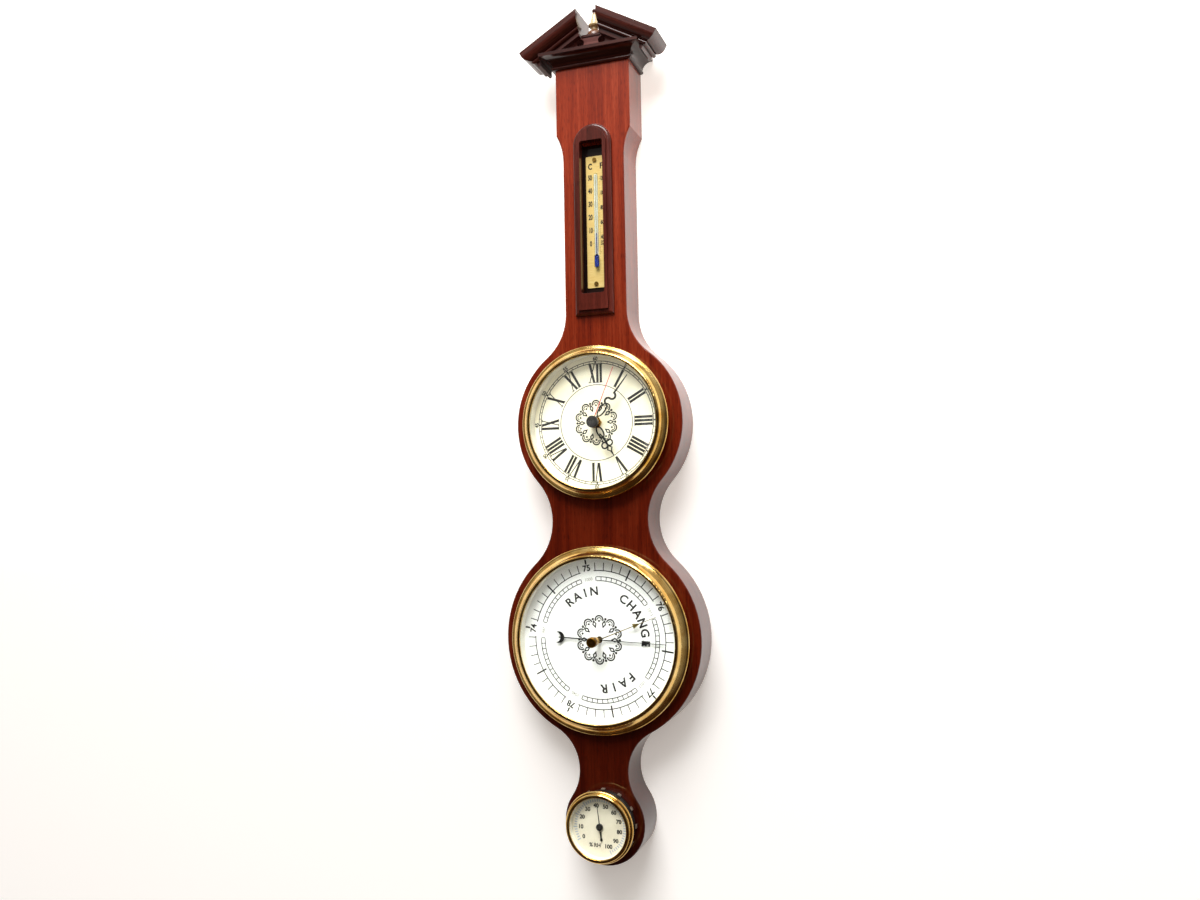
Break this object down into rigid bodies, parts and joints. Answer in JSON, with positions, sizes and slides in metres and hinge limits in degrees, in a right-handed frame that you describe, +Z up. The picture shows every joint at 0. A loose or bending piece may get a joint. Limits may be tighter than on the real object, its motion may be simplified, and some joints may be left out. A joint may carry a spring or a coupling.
{
  "type": "wall weather station",
  "caption": "Wall weather station in a long wooden case with a broken pediment: thermometer, quartz clock, aneroid barometer with a set hand, and hygrometer.",
  "frame": {"origin": "centre of the hanging eye, in the plane of the wall behind the case", "axes": "+Z up, -Y out of the wall towards the viewer, +X to the viewer's right"},
  "size_m": [0.183, 0.0641, 0.7798],
  "materials": {
    "case_wood": "french-polished mahogany",
    "moulding_wood": "french-polished dark mahogany",
    "finial_wood": "turned and part gilded",
    "brass": "polished and lacquered",
    "scale_brass": "satin gilt",
    "glass": "clear",
    "spirit": "blue liquid",
    "dial_ivory": "ivory, printed black",
    "dial_white": "white, printed black",
    "dial_cream": "cream, printed black",
    "reflector_white": "white",
    "black_paint": "satin black",
    "red_paint": "red",
    "steel": "zinc plated",
    "tinplate": "dull",
    "movement_plastic": "black",
    "gear_plastic": "natural",
    "board_green": "solder mask",
    "copper_wire": "enamelled",
    "cell_jacket": "printed jacket, plain",
    "nickel": "corrugated sheet"
  },
  "bodies": {
    "case": {"case_body": "case_wood", "hanger_plate": "steel", "small_screws": "brass", "cornice_front": "moulding_wood", "cornice_return_left": "moulding_wood", "cornice_return_right": "moulding_wood", "pediment_rake_right": "moulding_wood", "pediment_rake_left": "moulding_wood", "tympanum": "moulding_wood", "finial_plinth": "moulding_wood", "finial": "finial_wood", "thermometer_frame": "moulding_wood", "thermometer_scale": "scale_brass", "thermometer_tube": "glass", "thermometer_spirit": "spirit", "clock_can": "tinplate", "clock_dial": "dial_ivory", "clock_reflector": "reflector_white", "clock_glass": "glass", "clock_bezel": "brass", "movement_housing": "movement_plastic", "movement_rear_cover": "movement_plastic", "movement_bush": "brass", "dial_nut": "brass", "battery": "cell_jacket", "motor_coil": "copper_wire", "circuit_board": "board_green", "barometer_can": "tinplate", "barometer_dial": "dial_white", "barometer_reflector": "reflector_white", "barometer_glass": "glass", "barometer_bezel": "brass", "barometer_base_plate": "brass", "aneroid_capsule": "nickel", "main_spring": "steel", "barometer_bridge": "brass", "set_shaft_bush": "brass", "hygrometer_can": "tinplate", "hygrometer_dial": "dial_cream", "hygrometer_reflector": "reflector_white", "hygrometer_glass": "glass", "hygrometer_bezel": "brass", "hygrometer_grip_ring": "black_paint", "hygrometer_yoke": "brass", "humidity_coil": "nickel"},
    "minute_work": {"minute_hand": "black_paint", "minute_tube": "gear_plastic"},
    "hour_work": {"hour_hand": "black_paint", "hour_wheel": "gear_plastic"},
    "seconds_work": {"seconds_hand": "red_paint", "seconds_arbor": "steel"},
    "time_setter": {"change_wheel": "gear_plastic", "time_setting_knob": "movement_plastic"},
    "pressure_pointer": {"pressure_hand": "black_paint", "pressure_arbor": "steel"},
    "pressure_sector": {"sector_gear": "brass"},
    "set_pointer": {"set_hand": "brass", "set_knob": "brass"},
    "zero_adjuster": {"adjusting_screw": "brass"},
    "humidity_pointer": {"hygrometer_needle": "black_paint"}
  },
  "joints": [
    {"name": "minute_turn", "type": "hinge", "parent": "case", "child": "minute_work", "pos_m": [0, -0.03, -0.307], "axis": [0, 1, 0], "continuous": true},
    {"name": "hour_turn", "type": "hinge", "parent": "case", "child": "hour_work", "pos_m": [0, -0.03, -0.307], "axis": [0, 1, 0], "continuous": true},
    {"name": "seconds_turn", "type": "hinge", "parent": "case", "child": "seconds_work", "pos_m": [0, -0.03, -0.307], "axis": [0, 1, 0], "continuous": true},
    {"name": "setter_turn", "type": "hinge", "parent": "case", "child": "time_setter", "pos_m": [-0.012, -0.03, -0.307], "axis": [0, 1, 0], "continuous": true},
    {"name": "pressure_turn", "type": "hinge", "parent": "case", "child": "pressure_pointer", "pos_m": [0, -0.03, -0.5], "axis": [0, 1, 0], "range_deg": [-178, 118]},
    {"name": "sector_turn", "type": "hinge", "parent": "case", "child": "pressure_sector", "pos_m": [-0.039, -0.03, -0.5], "axis": [0, 1, 0], "range_deg": [-10, 15]},
    {"name": "set_turn", "type": "hinge", "parent": "case", "child": "set_pointer", "pos_m": [0, -0.03, -0.5], "axis": [0, 1, 0], "continuous": true},
    {"name": "adjuster_turn", "type": "hinge", "parent": "case", "child": "zero_adjuster", "pos_m": [0, -0.03, -0.53], "axis": [0, 1, 0], "range_deg": [-180, 180]},
    {"name": "humidity_turn", "type": "hinge", "parent": "case", "child": "humidity_pointer", "pos_m": [0, -0.03, -0.66], "axis": [0, 1, 0], "range_deg": [-115, 163]}
  ],
  "couplings": [
    {"joint": "hour_turn", "follows": "minute_turn", "ratio": 0.083333},
    {"joint": "setter_turn", "follows": "minute_turn", "ratio": -0.33333},
    {"joint": "sector_turn", "follows": "pressure_turn", "ratio": -0.083333}
  ]
}
